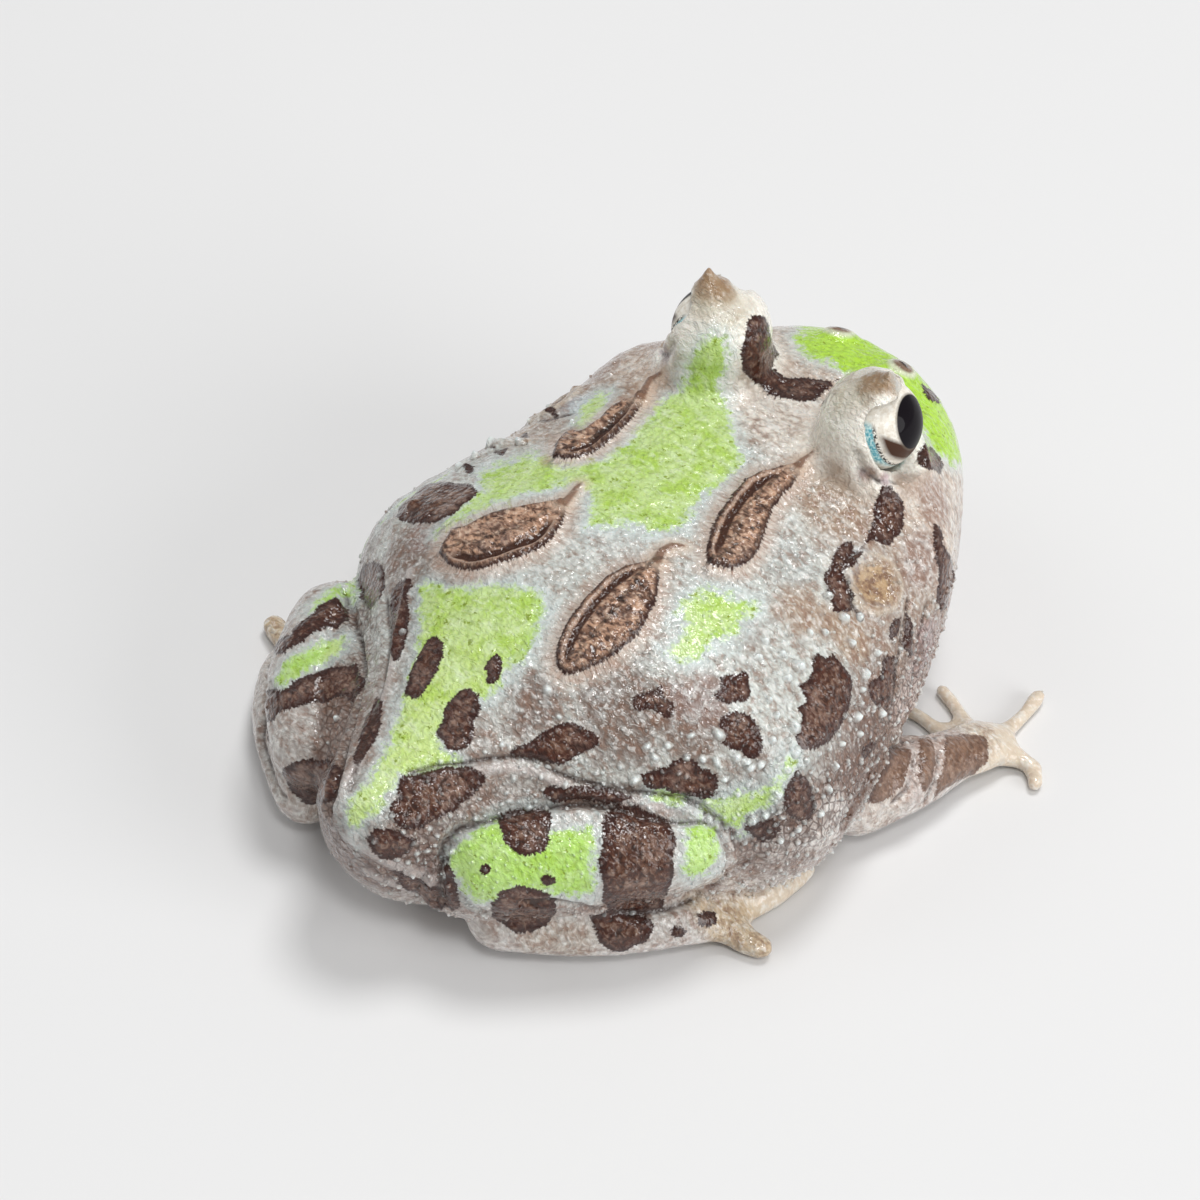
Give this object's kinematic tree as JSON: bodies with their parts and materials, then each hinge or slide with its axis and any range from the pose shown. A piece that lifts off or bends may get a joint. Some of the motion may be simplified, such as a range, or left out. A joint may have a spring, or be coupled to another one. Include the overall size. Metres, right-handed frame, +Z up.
{
  "type": "argentine horned frog",
  "caption": "Young Argentine horned frog sitting at rest: a round, wide-mouthed body with mottled skin, tall brow mounds and folded legs, as a still life-size model.",
  "frame": {"origin": "on the floor under the middle of the whole animal's box", "axes": "+Z up, the frog faces -Y, its left side is +X"},
  "size_m": [0.065, 0.069, 0.0346],
  "materials": {
    "back_skin": "moist, granular",
    "head_skin": "moist, fine grained",
    "throat_skin": "moist, smooth",
    "leg_skin": "moist, banded",
    "foot_skin": "moist, smooth",
    "eyeball": "wet gloss"
  },
  "bodies": {
    "root": {"arm_left": "leg_skin", "arm_right": "leg_skin", "eye_left": "eyeball", "eye_right": "eyeball", "foot_left": "foot_skin", "foot_right": "foot_skin", "hand_left": "foot_skin", "hand_right": "foot_skin", "head": "head_skin", "horn_left": "head_skin", "horn_right": "head_skin", "lower_jaw": "throat_skin", "shank_left": "leg_skin", "shank_right": "leg_skin", "thigh_left": "leg_skin", "thigh_right": "leg_skin", "torso": "back_skin"}
  },
  "joints": []
}
